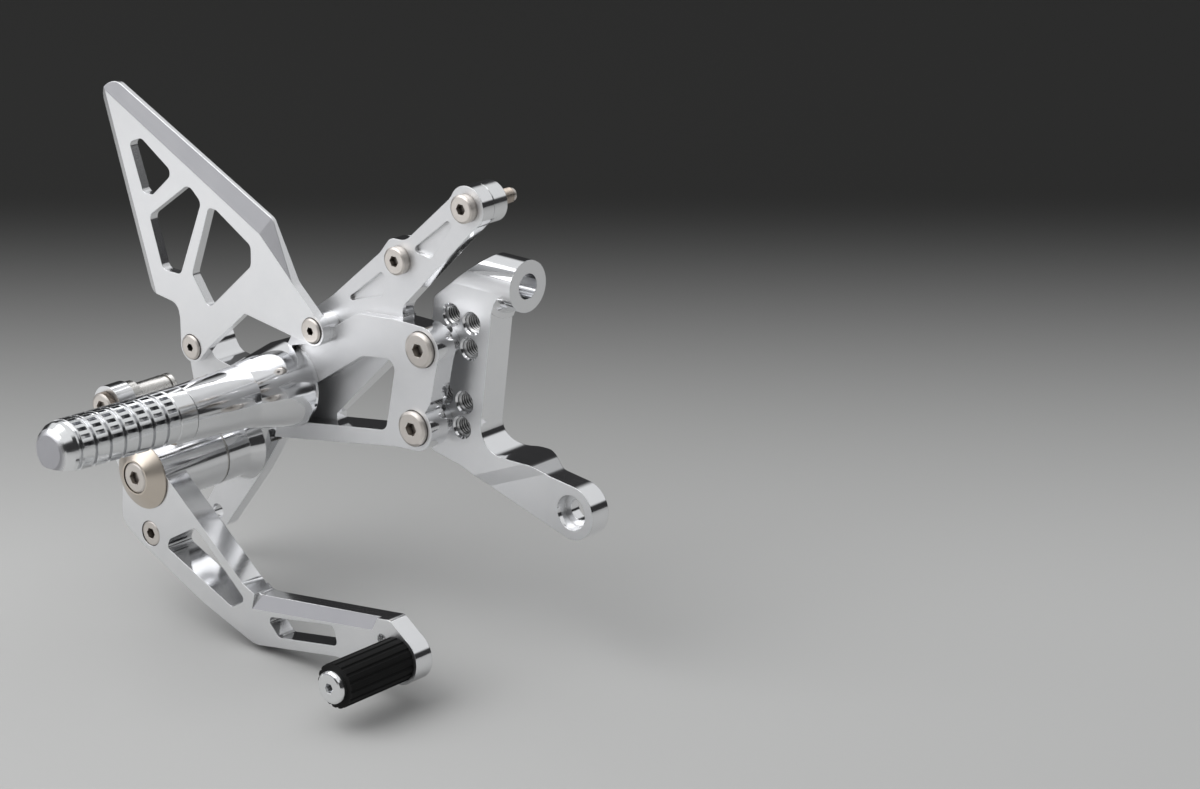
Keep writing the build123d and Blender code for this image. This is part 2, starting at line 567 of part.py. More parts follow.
def brake_pedal():
    """Lever with two windows, toe end, pushrod lug and the hub that turns on the pivot."""
    inner = PEDAL_OUT + PEDAL_THICKNESS
    lever_top = polar(PIVOT, HUB_RADIUS, 10)
    lever_bend = (-77.4, -117.6)
    lever = outline([
        (*polar(PIVOT, HUB_RADIUS, 200), 0), (-146.4, -108.2, 7), (-135.7, -114.9, 6),
        (-101, -131.2, 20), (-72, -141.2, 12), (-27.1, -133.6, 10),
        (*polar(TOE, TOE_RADIUS, -60), 0), (*TOE, 0), (*polar(TOE, TOE_RADIUS, 45), 0),
        (1.4, -111, 4), (-70.6, -120.5, 5), (*lever_bend, 8), (*lever_top, 0), (*PIVOT, 0),
    ])
    body = plate(lever, PEDAL_OUT, PEDAL_THICKNESS)
    body += rod(TOE, TOE_RADIUS, PEDAL_OUT, TOE_THICKNESS)
    lug_link = outline([
        (*polar(PUSHROD, PUSHROD_LUG_RADIUS, 215), 0), (*polar(PIVOT, HUB_RADIUS, 190), 0), (*PIVOT, 0),
        (*polar(PIVOT, HUB_RADIUS, 60), 0), (*polar(PUSHROD, PUSHROD_LUG_RADIUS, 20), 0), (*PUSHROD, 0),
    ])
    body += plate(lug_link, PEDAL_OUT, TOE_THICKNESS)
    body += rod(PUSHROD, PUSHROD_LUG_RADIUS, PEDAL_OUT, TOE_THICKNESS)
    plan = outline([
        (-170, PEDAL_OUT, 0), (40, PEDAL_OUT, 0), (40, PEDAL_OUT + TOE_THICKNESS, 0),
        (-66, PEDAL_OUT + TOE_THICKNESS, 20), (-86, inner, 20), (-170, inner, 0),
    ])
    body &= Pos(0, 0, -150) * extrude(plan, 120)
    chamfer = [(-PEDAL_CHAMFER, 1), (1, 1), (1, -PEDAL_CHAMFER)]
    body -= laid_along(lever_top, lever_bend, inner, chamfer, 60)
    body -= lever_facet()
    body += rod(PIVOT, HUB_RADIUS, PEDAL_OUT, HUB_IN - PEDAL_OUT)
    body -= rod(PIVOT, HUB_BORE_RADIUS, PEDAL_OUT, HUB_IN - PEDAL_OUT)
    body -= rod(PIVOT, SPRING_CAVITY_RADIUS, CAVITY_FLOOR, HUB_IN - CAVITY_FLOOR)
    tang = SPRING_TANG + 0.5
    hook = polar(PIVOT, SPRING_MEAN_RADIUS, 360 * SPRING_TURNS)
    body -= rod(hook, SPRING_WIRE / 2 + SPRING_HOLE_GAP, CAVITY_FLOOR - tang, tang)
    body -= stop_notch()
    upper_window = outline([
        (-120.6, -113.4, 2), (-118.8, -109.4, 2.5), (-103.6, -100.6, 3),
        (-76.4, -124.2, 2), (-84.3, -128.9, 2),
    ])
    lower_window = outline([(-65.4, -127.6, 2), (-28.3, -121.2, 2.5), (-26.4, -129.2, 2), (-58.3, -134.6, 2)])
    for window in (upper_window, lower_window):
        body -= plate(window, PEDAL_OUT, PEDAL_THICKNESS)
    body -= rod(PLUG, PLUG_RADIUS + 0.1, PEDAL_OUT, PLUG_DEPTH)
    body -= rod(PLUG, M6_RADIUS, PEDAL_OUT, PEDAL_THICKNESS)
    body -= rod(PUSHROD, M6_RADIUS, PEDAL_OUT, TOE_THICKNESS)
    body -= rod(TOE, TOE_CORE_RADIUS - 1.9, PEDAL_OUT, TOE_THICKNESS)
    return body


def lever_facet():
    """Shallow facet milled on the outer face, below the top edge of the lever's front half."""
    section = [(-1, 0), (-1, FACET_REACH), (FACET_SLOPE * FACET_REACH, FACET_REACH), (0, 0)]
    band = laid_along(FACET_START, FACET_END, PEDAL_OUT, section, 200)
    ends = outline([
        (FACET_START[0] - 4, FACET_START[1] - 5, 0), (FACET_START[0] + 4, FACET_START[1] + 30, 0),
        (FACET_END[0] + 16, FACET_END[1] + 30, 0), (FACET_END[0] - 2.7, FACET_END[1] - 5, 0),
    ])
    return band & plate(ends, PEDAL_OUT - 1, TOE_THICKNESS)


def stop_notch():
    """Short curved notch in the hub's end, in which the stop pin stands."""
    margin = degrees(STOP_PIN_RADIUS / STOP_PIN_OFFSET) + 0.4
    first = STOP_PIN_ANGLE - margin
    last = STOP_PIN_ANGLE + PEDAL_TRAVEL + margin
    near = SPRING_CAVITY_RADIUS - 1
    far = HUB_RADIUS + 2
    sector = make_face(Polyline(
        polar(PIVOT, near, first), polar(PIVOT, far, first),
        polar(PIVOT, far, last), polar(PIVOT, near, last), close=True,
    ))
    return plate(sector, HUB_IN - NOTCH_DEPTH, NOTCH_DEPTH)


def hub_bush(start):
    """Plain bush pressed in the hub, which turns on the pivot sleeve."""
    body = rod(PIVOT, HUB_BORE_RADIUS, start, BUSH_LENGTH)
    return body - rod(PIVOT, PIVOT_SLEEVE_RADIUS + RUNNING_GAP, start, BUSH_LENGTH)


def pivot_sleeve():
    """Steel tube that the pivot bolt clamps against the boss."""
    body = rod(PIVOT, PIVOT_SLEEVE_RADIUS, CONE_BASE, BOSS_END - CONE_BASE)
    return body - rod(PIVOT, PIVOT_BOLT_RADIUS + THREAD_GAP, CONE_BASE, BOSS_END - CONE_BASE)


def thrust_washer():
    """Washer between the hub and the boss, with holes for the stop pin and the spring's end."""
    start = BOSS_END - WASHER_THICKNESS
    body = rod(PIVOT, HUB_RADIUS - 0.3, start, WASHER_THICKNESS)
    body -= rod(PIVOT, PIVOT_SLEEVE_RADIUS + THREAD_GAP, start, WASHER_THICKNESS)
    pin = polar(PIVOT, STOP_PIN_OFFSET, STOP_PIN_ANGLE)
    body -= rod(pin, STOP_PIN_RADIUS + THREAD_GAP, start, WASHER_THICKNESS)
    hook = polar(PIVOT, SPRING_MEAN_RADIUS, 0)
    return body - rod(hook, SPRING_WIRE / 2 + SPRING_HOLE_GAP, start, WASHER_THICKNESS)


def cone_washer():
    """Coned washer that covers the pivot and takes the bolt's head."""
    top = CONE_BASE - CONE_HEIGHT
    floor = CONE_BASE - CONE_FLOOR
    bore = PIVOT_BOLT_RADIUS + THREAD_GAP
    recess = PIVOT_HEAD_RADIUS + THREAD_GAP
    profile = [
        (bore, CONE_BASE), (CONE_BASE_RADIUS, CONE_BASE), (CONE_BASE_RADIUS, CONE_BASE - 0.6),
        (CONE_RIM_RADIUS, top), (recess, top), (recess, floor), (bore, floor),
    ]
    return turned(PIVOT, profile)


def pivot_bolt():
    """Bolt that carries the pedal, flush in the cone washer."""
    seat = CONE_BASE - CONE_FLOOR
    height = CONE_HEIGHT - CONE_FLOOR
    return bolt(PIVOT, seat, PIVOT_HEAD_RADIUS, height, PIVOT_BOLT_RADIUS, PLATE_IN - 1 - seat, M8_SOCKET)


def return_spring():
    """Torsion spring in the hub, with one end in the hub's floor and the other in the boss."""
    start = BOSS_END - WASHER_THICKNESS - SPRING_TANG
    height = SPRING_TURNS * SPRING_PITCH
    steps = round(SPRING_TURNS * 12)
    first = start - BOSS_END - SPRING_TANG
    points = [(SPRING_MEAN_RADIUS, 0, first * part) for part in (1, 0.7, 0.4, 0.2)]
    for step in range(steps + 1):
        turn = 360 * SPRING_TURNS * (0.02 + 0.96 * step / steps)
        points.append((*polar((0, 0), SPRING_MEAN_RADIUS, turn), height * (0.05 + 0.9 * step / steps)))
    end = polar((0, 0), SPRING_MEAN_RADIUS, 360 * SPRING_TURNS)
    last = start - CAVITY_FLOOR + SPRING_TANG
    points += [(*end, height + part * (last - height)) for part in (0.2, 0.4, 0.7, 1)]
    path = Spline(*points, tangents=[(0, 0, 1), (0, 0, 1)])
    wire = Plane(origin=path @ 0, z_dir=path % 0) * Circle(SPRING_WIRE / 2)
    return Pos(PIVOT[0], start, PIVOT[1]) * Rot(90, 0, 0) * sweep(wire, path=path)


def stop_pin():
    """Pin pressed in the boss, which stops the pedal at both ends of its travel."""
    centre = polar(PIVOT, STOP_PIN_OFFSET, STOP_PIN_ANGLE)
    outer = HUB_IN - NOTCH_DEPTH + SIDE_GAP
    return rod(centre, STOP_PIN_RADIUS, outer, BOSS_END + STOP_PIN_DEPTH - outer)


def flush_screw():
    """Small screw set flush in the lever."""
    return bolt(PLUG, PEDAL_OUT + PLUG_DEPTH, PLUG_RADIUS, PLUG_DEPTH, M6_RADIUS, PLUG_LENGTH, M6_SOCKET)


def pushrod_screw():
    """Screw with a knurled head that holds the pushrod pin to the lever's lug."""
    length = TOE_THICKNESS + PUSHROD_FLANGE + 6
    head = (KNURLED_HEAD_RADIUS, KNURLED_HEAD_HEIGHT)
    return bolt(PUSHROD, PEDAL_OUT, *head, M6_RADIUS, length, M6_SOCKET + 1)


def pushrod_pin():
    """Pin for the pushrod's eye, with a flange and two fine grooves near its end."""
    start = PEDAL_OUT + TOE_THICKNESS
    step = start + PUSHROD_FLANGE
    end = step + PUSHROD_PIN_LENGTH
    radius = PUSHROD_PIN_RADIUS
    flange = PUSHROD_FLANGE_RADIUS
    thread_end = step + 7
    profile = [
        (M6_RADIUS, start), (flange, start), (flange, step - 0.4), (flange - 0.4, step),
        (radius, step), (radius, end - 4.2), (radius - 0.5, end - 4.2), (radius - 0.5, end - 3),
        (radius, end - 3), (radius, end - 1), (radius - 1, end), (0, end),
        (0, thread_end), (M6_RADIUS, thread_end),
    ]
    return turned(PUSHROD, profile)


def toe_core():
    """Steel spacer tube that carries the toe rubber."""
    length = TOE_RUBBER_LENGTH
    body = rod(TOE, TOE_CORE_RADIUS, PEDAL_OUT - length, length)
    return body - rod(TOE, M6_RADIUS + THREAD_GAP, PEDAL_OUT - length, length)


def toe_rubber():
    """Rubber sleeve with lengthwise ribs all round."""
    length = TOE_RUBBER_LENGTH
    start = PEDAL_OUT - length
    body = rod(TOE, TOE_RUBBER_RADIUS, start, length)
    for index in range(TOE_LOBES):
        body -= rod(polar(TOE, TOE_RUBBER_RADIUS + 0.25, 360 * index / TOE_LOBES), 0.75, start, length)
    return body - rod(TOE, TOE_CORE_RADIUS, start, length)


def toe_screw():
    """Domed cap screw that clamps the toe peg to the lever."""
    seat = PEDAL_OUT - TOE_RUBBER_LENGTH
    top = seat - TOE_CAP_HEIGHT
    tip = PEDAL_OUT + TOE_THICKNESS - 1
    shank = M6_RADIUS - THREAD_GAP
    profile = [
        (0, top), (TOE_CAP_RADIUS - 1.3, top), (TOE_CAP_RADIUS - 0.6, top + 0.3),
        (TOE_CAP_RADIUS - 0.15, top + 0.9), (TOE_CAP_RADIUS, top + 1.6), (TOE_CAP_RADIUS, seat),
        (shank, seat), (shank, tip), (0, tip),
    ]
    return turned(TOE, profile) - socket(TOE, top, TOE_SOCKET, 0.6 * TOE_CAP_HEIGHT)


PARTS = {
    "frame_hanger": frame_hanger(),
    "bracket_bolts": bracket_bolts(),
    "main_bracket": main_bracket(),
    "footpeg": footpeg(),
    "peg_bolt": peg_bolt(),
    "heel_guard": heel_guard(),
    "guard_bolts": guard_bolts(),
    "master_bolts": master_bolts(),
    "master_collars": master_collars(),
    "brake_pedal": brake_pedal(),
    "outer_bush": hub_bush(PEDAL_OUT),
    "inner_bush": hub_bush(CAVITY_FLOOR - BUSH_LENGTH),
    "pivot_sleeve": pivot_sleeve(),
    "thrust_washer": thrust_washer(),
    "cone_washer": cone_washer(),
    "pivot_bolt": pivot_bolt(),
    "return_spring": return_spring(),
    "stop_pin": stop_pin(),
    "flush_screw": flush_screw(),
    "pushrod_screw": pushrod_screw(),
    "pushrod_pin": pushrod_pin(),
    "toe_core": toe_core(),
    "toe_rubber": toe_rubber(),
    "toe_screw": toe_screw(),
}
os.makedirs("parts", exist_ok=True)
for name, piece in PARTS.items():
    solids = piece if isinstance(piece, list) else [piece]
    export_step(Compound([solid for body in solids for solid in body.solids()]), f"parts/{name}.step")
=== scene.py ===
import json
from math import cos, pi, radians, sin, tau

import bmesh
import bpy
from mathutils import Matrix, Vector


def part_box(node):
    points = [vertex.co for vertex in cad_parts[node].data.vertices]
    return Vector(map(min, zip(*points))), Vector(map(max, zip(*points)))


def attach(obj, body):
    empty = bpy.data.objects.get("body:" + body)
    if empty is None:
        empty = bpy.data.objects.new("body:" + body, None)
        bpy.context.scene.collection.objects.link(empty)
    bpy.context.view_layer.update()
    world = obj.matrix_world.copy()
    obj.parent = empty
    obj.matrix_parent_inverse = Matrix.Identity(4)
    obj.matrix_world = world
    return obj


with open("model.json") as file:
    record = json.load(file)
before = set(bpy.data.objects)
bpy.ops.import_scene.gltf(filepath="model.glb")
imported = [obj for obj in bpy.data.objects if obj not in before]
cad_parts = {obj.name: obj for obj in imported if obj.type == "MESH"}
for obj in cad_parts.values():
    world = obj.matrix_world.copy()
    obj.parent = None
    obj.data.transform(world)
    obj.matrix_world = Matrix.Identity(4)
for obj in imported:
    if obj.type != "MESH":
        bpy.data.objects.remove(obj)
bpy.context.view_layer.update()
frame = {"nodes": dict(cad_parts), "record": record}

# Studio floor: one sheet of matte backdrop paper under the footrest. It is mid grey in front and
# fades to near black behind, a painted falloff of the light. To the left, out of the picture, a
# white pool of light is painted on it, and it shows as a painted reflection in every face that
# looks outward.


def linear(hex_colour):
    """Linear RGBA of an sRGB hex colour."""
    channels = [int(hex_colour[start : start + 2], 16) / 255 for start in (1, 3, 5)]
    return [c / 12.92 if c <= 0.04045 else ((c + 0.055) / 1.055) ** 2.4 for c in channels] + [1]


def add(tree, kind, settings=None, links=None):
    """New node with its properties or sockets set and its inputs linked."""
    made = tree.nodes.new("ShaderNode" + kind)
    for name, value in (settings or {}).items():
        if isinstance(name, int) or name in made.inputs:
            made.inputs[name].default_value = value
        else:
            setattr(made, name, value)
    for name, source in (links or {}).items():
        tree.links.new(source, made.inputs[name])
    return made


def material(name):
    """Empty node material and its tree."""
    made = bpy.data.materials.new(name)
    made.use_nodes = True
    made.node_tree.nodes.clear()
    return made, made.node_tree


def surface(tree, shader):
    """Shader as the material's surface."""
    add(tree, "OutputMaterial", links={"Surface": shader.outputs[0]})


AZIMUTH = radians(41.0)
ELEVATION = radians(19.0)
AWAY = (-sin(AZIMUTH), cos(AZIMUTH), 0)
FLOOR_HEIGHT = -0.1435
FLOOR_HALF = 8
PAINTED_FALLOFF_DEPTH = 0.65
PAINTED_POOL_CENTRE = (-0.6, -0.55, FLOOR_HEIGHT)
PAINTED_POOL_INNER = 0.22
PAINTED_POOL_OUTER = 0.58
# Uncoated paper: matte, with almost no sheen. Its colour holds the painted falloff and the painted pool.
painted_light_paper, tree = material("backdrop_paper_with_painted_light")
place = add(tree, "TexCoord")
depth = add(tree, "VectorMath", {"operation": "DOT_PRODUCT", 1: AWAY}, {0: place.outputs["Object"]})
# Painted falloff: mid grey darkening to near black with distance away from the camera.
painted_falloff = add(
    tree, "MapRange", {"interpolation_type": "SMOOTHSTEP", "From Min": 0.0, "From Max": PAINTED_FALLOFF_DEPTH},
    {"Value": depth.outputs["Value"]},
)
# Painted pool of light: the floor turns white close to the pool's centre.
reach = add(tree, "VectorMath", {"operation": "DISTANCE", 1: PAINTED_POOL_CENTRE}, {0: place.outputs["Object"]})
painted_pool = add(
    tree, "MapRange", {"interpolation_type": "SMOOTHSTEP", "From Min": PAINTED_POOL_OUTER, "From Max": PAINTED_POOL_INNER},
    {"Value": reach.outputs["Value"]},
)
tone = add(
    tree, "Mix", {"data_type": "RGBA", 6: linear("#C2C2C1"), 7: linear("#222221")},
    {"Factor": painted_falloff.outputs["Result"]},
)
tone = add(
    tree, "Mix", {"data_type": "RGBA", 7: linear("#F6F6F6")},
    {"Factor": painted_pool.outputs["Result"], 6: tone.outputs[2]},
)
surface(tree, add(
    tree, "BsdfPrincipled", {"Roughness": 0.85, "Specular IOR Level": 0.2}, {"Base Color": tone.outputs[2]},
))
mesh = bpy.data.meshes.new("studio_floor")
corners = [(x * FLOOR_HALF, y * FLOOR_HALF, FLOOR_HEIGHT) for x, y in ((-1, -1), (1, -1), (1, 1), (-1, 1))]
mesh.from_pydata(corners, [], [(0, 1, 2, 3)])
mesh.materials.append(painted_light_paper)
floor = bpy.data.objects.new("studio_floor", mesh)
bpy.context.collection.objects.link(floor)

# Studio light: a wide soft ceiling that starts lower at the front left, a grey card at the left, a
# white one at the back, and one large soft lamp in front. Polished metal shows all of them.
# Each edge here is a soft step between two values of the direction that a reflection looks in.
CEILING_TILT = (-0.25, -0.25, 1)
CEILING_EDGE = (0.46, 0.64)
LEFT_CARD_SIDE = (-0.3, -0.38)
LEFT_CARD_FRONT = (0.1, -0.1)
LEFT_CARD_TOP = (0.6, 0.45)
BACK_CARD_SIDE = (-0.45, -0.25)
BACK_CARD_FRONT = (0.56, 0.64)
BACK_CARD_FOOT = (0.26, 0.34)
DARK_WALL = "#363637"
CEILING_WHITE = "#F4F5F6"
LEFT_CARD_GREY = "#BEBEC2"
BACK_CARD_WHITE = "#ECEDEE"
STUDIO_STRENGTH = 0.86
world = bpy.data.worlds.new("studio")
bpy.context.scene.world = world
world.use_nodes = True
tree = world.node_tree
tree.nodes.clear()
toward_sky = add(tree, "TexCoord").outputs["Generated"]
direction = add(tree, "SeparateXYZ", links={"Vector": toward_sky})
rise = add(tree, "VectorMath", {"operation": "DOT_PRODUCT", 1: CEILING_TILT}, {0: toward_sky})
ceiling = add(
    tree, "MapRange",
    {"interpolation_type": "SMOOTHSTEP", "From Min": CEILING_EDGE[0], "From Max": CEILING_EDGE[1]},
    {"Value": rise.outputs["Value"]},
)
sky = add(
    tree, "Mix", {"data_type": "RGBA", 6: linear(DARK_WALL), 7: linear(CEILING_WHITE)},
    {"Factor": ceiling.outputs["Result"]},
)
left = add(
    tree, "MapRange",
    {"interpolation_type": "SMOOTHSTEP", "From Min": LEFT_CARD_SIDE[0], "From Max": LEFT_CARD_SIDE[1]},
    {"Value": direction.outputs["X"]},
)
front = add(
    tree, "MapRange", {"From Min": LEFT_CARD_FRONT[0], "From Max": LEFT_CARD_FRONT[1]},
    {"Value": direction.outputs["Y"]},
)
card = add(tree, "Math", {"operation": "MULTIPLY"}, {0: left.outputs[0], 1: front.outputs[0]})
lower = add(
    tree, "MapRange", {"From Min": LEFT_CARD_TOP[0], "From Max": LEFT_CARD_TOP[1]},
    {"Value": direction.outputs["Z"]},
)
card = add(tree, "Math", {"operation": "MULTIPLY"}, {0: card.outputs[0], 1: lower.outputs[0]})
sky = add(
    tree, "Mix", {"data_type": "RGBA", 7: linear(LEFT_CARD_GREY)},
    {"Factor": card.outputs[0], 6: sky.outputs[2]},
)
right = add(
    tree, "MapRange", {"From Min": BACK_CARD_SIDE[0], "From Max": BACK_CARD_SIDE[1]},
    {"Value": direction.outputs["X"]},
)
back = add(
    tree, "MapRange", {"From Min": BACK_CARD_FRONT[0], "From Max": BACK_CARD_FRONT[1]},
    {"Value": direction.outputs["Y"]},
)
upper = add(
    tree, "MapRange", {"From Min": BACK_CARD_FOOT[0], "From Max": BACK_CARD_FOOT[1]},
    {"Value": direction.outputs["Z"]},
)
card = add(tree, "Math", {"operation": "MULTIPLY"}, {0: right.outputs[0], 1: back.outputs[0]})
card = add(tree, "Math", {"operation": "MULTIPLY"}, {0: card.outputs[0], 1: upper.outputs[0]})
sky = add(
    tree, "Mix", {"data_type": "RGBA", 7: linear(BACK_CARD_WHITE)},
    {"Factor": card.outputs[0], 6: sky.outputs[2]},
)
glow = add(tree, "Background", {"Strength": STUDIO_STRENGTH}, {"Color": sky.outputs[2]})
add(tree, "OutputWorld", links={"Surface": glow.outputs[0]})


def soft_lamp(name, place, aim, width, power):
    """Square area lamp aimed at a point."""
    lamp = bpy.data.lights.new(name, "AREA")
    lamp.size = width
    lamp.energy = power
    box = bpy.data.objects.new(name, lamp)
    box.location = place
    box.rotation_euler = (Vector(aim) - Vector(place)).to_track_quat("-Z", "Y").to_euler()
    bpy.context.collection.objects.link(box)


soft_lamp("key_softbox", place=(-0.7, -0.9, 1.1), aim=(-0.1, -0.05, -0.05), width=1.6, power=15.8)

# Camera: a long lens from the front right, a little above the peg. It looks down on the set by
# ELEVATION and stands AZIMUTH round from straight out.
CAMERA_PLACE = (0.8493, -0.9355, 0.3918)
lens = bpy.data.cameras.new("camera")
lens.lens = 105
lens.sensor_width = 36
lens.clip_end = 50
camera = bpy.data.objects.new("camera", lens)
camera.location = CAMERA_PLACE
toward = Vector((sin(AZIMUTH) * cos(ELEVATION), -cos(AZIMUTH) * cos(ELEVATION), sin(ELEVATION)))
camera.rotation_euler = toward.to_track_quat("Z", "Y").to_euler()
bpy.context.collection.objects.link(camera)
bpy.context.scene.camera = camera
bpy.context.scene.view_settings.view_transform = "Standard"

# Frame hanger: one piece of aluminium milled from solid plate, bolted to the motorcycle's frame. Its
# faces are rubbed to a satin polish, and its sides are left bright from the end mill.


def every(millimetres):
    """Texture scale at which a pattern repeats after this many millimetres."""
    return 1000 / millimetres


def milled_aluminium(name, face, side, flat_from, step, centre, reach, open_from, painted_shade_colour):
    """Bare milled 7075 aluminium: soft white faces, mirror-bright sides, light edges and painted shade in
    bores.

    face and side are roughness. A face is where the normal's Y part is above flat_from. step is the
    distance between cutter marks in metres, and centre is the middle of the cutter's arcs. Where
    less than open_from of the space within reach is open, the dark colour is painted on as shade.
    """
    facing_blend = 0.0012
    hollow_blend = 0.35
    made, tree = material(name)
    place = add(tree, "TexCoord")
    normal = add(tree, "SeparateXYZ", links={"Vector": place.outputs["Normal"]})
    facing = add(tree, "Math", {"operation": "ABSOLUTE"}, {0: normal.outputs["Y"]})
    flat = add(
        tree, "MapRange", {"From Min": flat_from, "From Max": flat_from + facing_blend},
        {"Value": facing.outputs[0]},
    )
    # The rubbed patches are as wide as a polishing pad's edge.
    rub = add(
        tree, "TexNoise", {"Scale": every(16.7), "Detail": 4, "Roughness": 0.6},
        {"Vector": place.outputs["Object"]},
    )
    sheen = add(tree, "MapRange", {"To Min": -0.03, "To Max": 0.03}, {"Value": rub.outputs["Fac"]})
    rough = add(tree, "MapRange", {"To Min": side, "To Max": face}, {"Value": flat.outputs[0]})
    rough = add(tree, "Math", {"operation": "ADD"}, {0: rough.outputs[0], 1: sheen.outputs[0]})
    arcs_from = add(tree, "VectorMath", {"operation": "SUBTRACT", 1: centre}, {0: place.outputs["Object"]})
    # A wave texture of scale 1 repeats every pi / 10 metres. The real marks are about 0.2 mm apart,
    # and these are coarser, so that they show.
    marks = add(
        tree, "TexWave",
        {
            "wave_type": "RINGS", "rings_direction": "Y", "Scale": pi / 10 / step,
            "Distortion": 0.4, "Detail": 2,
        },
        {"Vector": arcs_from.outputs[0]},
    )
    # On the sides the end mill leaves streaks along Y.
    grain = add(tree, "Mapping", {"Scale": (1, 0.04, 1)}, {"Vector": place.outputs["Object"]})
    streaks = add(tree, "TexNoise", {"Scale": every(1.1), "Detail": 3}, {"Vector": grain.outputs[0]})
    height = add(
        tree, "Mix", {"data_type": "FLOAT"},
        {"Factor": flat.outputs[0], 2: streaks.outputs["Fac"], 3: marks.outputs["Fac"]},
    )
    edge = add(tree, "Bevel", {"samples": 4, "Radius": 0.00035})
    bump = add(
        tree, "Bump", {"Strength": 0.12, "Distance": 0.00004},
        {"Height": height.outputs[0], "Normal": edge.outputs[0]},
    )
    # Painted shade: where little of the space within reach is open, the colour darkens towards the dark
    # colour.
    hollow = add(tree, "AmbientOcclusion", {"samples": 6, "Distance": reach})
    shade = add(
        tree, "MapRange", {"From Min": open_from - hollow_blend, "From Max": open_from},
        {"Value": hollow.outputs["AO"]},
    )
    tint = add(
        tree, "Mix", {"data_type": "RGBA", 6: linear("#E9EAEC"), 7: linear("#F5F5F6")},
        {"Factor": rub.outputs["Fac"]},
    )
    tint = add(
        tree, "Mix", {"data_type": "RGBA", 6: linear(painted_shade_colour)},
        {"Factor": shade.outputs[0], 7: tint.outputs[2]},
    )
    surface(tree, add(
        tree, "BsdfPrincipled", {"Metallic": 1},
        {"Base Color": tint.outputs[2], "Roughness": rough.outputs[0], "Normal": bump.outputs[0]},
    ))
    return made


def dress(nodes, finish):
    """Gives a material to carried-over pieces."""
    for name in nodes:
        for slot in frame["nodes"][name].material_slots:
            slot.material = finish


# Its bores and hollows get a painted shade of dark grey.
dress(["frame_hanger"], milled_aluminium(
    "milled_aluminium_hanger", face=0.42, side=0.1, flat_from=0.93, step=0.0009, centre=(0.3, 0, 0.2),
    reach=0.007, open_from=0.5, painted_shade_colour="#504E4C",
))

# Threads of the hanger's spare holes: M8 x 1.25, tapped through the plate in two square groups of
# four on its tilted bar. Each is one helical ridge that stands inside its bore. The first hole of
# each group is filled by a bracket bolt.


def thread(name, centre, outer, length, wall, crest, pitch):
    """Helical ridge along Y between a wall and a crest radius."""
    around = 28
    flank = 0.46 * pitch
    land = 0.06 * pitch
    form = bmesh.new()
    rings = []
    steps = int(around * (length - 2 * flank) / pitch)
    for step in range(steps + 1):
        angle = tau * step / around
        y = outer + flank + step * pitch / around
        ring = []
        for radius, shift in ((wall, -flank), (crest, -land), (crest, land), (wall, flank)):
            spot = (centre[0] + radius * cos(angle), y + shift, centre[1] + radius * sin(angle))
            ring.append(form.verts.new(spot))
        rings.append(ring)
    for first, second in zip(rings, rings[1:]):
        for side in range(3):
            form.faces.new((first[side], first[side + 1], second[side + 1], second[side]))
    bmesh.ops.recalc_face_normals(form, faces=form.faces)
    mesh = bpy.data.meshes.new(name)
    form.to_mesh(mesh)
    form.free()
    made = bpy.data.objects.new(name, mesh)
    bpy.context.collection.objects.link(made)
    return made


# Tapped aluminium: bright crests, and roots painted near black as shade where the occlusion is deep.
cut_thread, tree = material("cut_aluminium_thread")
place = add(tree, "TexCoord")
chatter = add(tree, "TexNoise", {"Scale": every(0.55), "Detail": 3}, {"Vector": place.outputs["Object"]})
rough = add(tree, "MapRange", {"To Min": 0.22, "To Max": 0.38}, {"Value": chatter.outputs["Fac"]})
bump = add(tree, "Bump", {"Strength": 0.1, "Distance": 0.00003}, {"Height": chatter.outputs["Fac"]})
# Painted shade: the thread roots darken to near black by occlusion.
groove = add(tree, "AmbientOcclusion", {"samples": 6, "Distance": 0.0016})
painted_root_shade = add(tree, "MapRange", {"From Min": 0.5, "From Max": 0.85}, {"Value": groove.outputs["AO"]})
tint = add(
    tree, "Mix", {"data_type": "RGBA", 6: linear("#191817"), 7: linear("#E2E2E3")},
    {"Factor": painted_root_shade.outputs[0]},
)
surface(tree, add(
    tree, "BsdfPrincipled", {"Metallic": 1},
    {"Base Color": tint.outputs[2], "Roughness": rough.outputs[0], "Normal": bump.outputs[0]},
))
BAR_CENTRE = (-0.02605, -0.02115)
BAR_TILT = radians(7.5)
HOLE_PITCH = 0.0106
GROUP_SPACING = 0.033
FILLED_HOLES = (0, 4)
holes = []
for group in (0, -GROUP_SPACING):
    for across in (-HOLE_PITCH / 2, HOLE_PITCH / 2):
        for rise in (-HOLE_PITCH / 2, HOLE_PITCH / 2):
            x = BAR_CENTRE[0] + across * cos(BAR_TILT) + (group + rise) * sin(BAR_TILT)
            z = BAR_CENTRE[1] - across * sin(BAR_TILT) + (group + rise) * cos(BAR_TILT)
            holes.append((x, z))
for index, hole in enumerate(holes):
    if index in FILLED_HOLES:
        continue
    ridge = thread(
        f"hanger_thread_{index}", hole, outer=-0.0092, length=0.0112, wall=0.00404, crest=0.00332,
        pitch=0.00125,
    )
    ridge.data.materials.append(cut_thread)
    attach(ridge, "bracket")

# Main bracket: one piece of aluminium milled from solid, with cutter arcs on its faces and on the
# sloped floor of its window. The peg sleeve and the pivot boss are turned on the same piece and
# buffed.
# Its hollows get a light painted shade.
dress(["main_bracket"], milled_aluminium(
    "milled_aluminium_bracket", face=0.5, side=0.08, flat_from=0.9, step=0.0008, centre=(-0.2, 0, -0.25),
    reach=0.004, open_from=0.5, painted_shade_colour="#8C8A88",
))

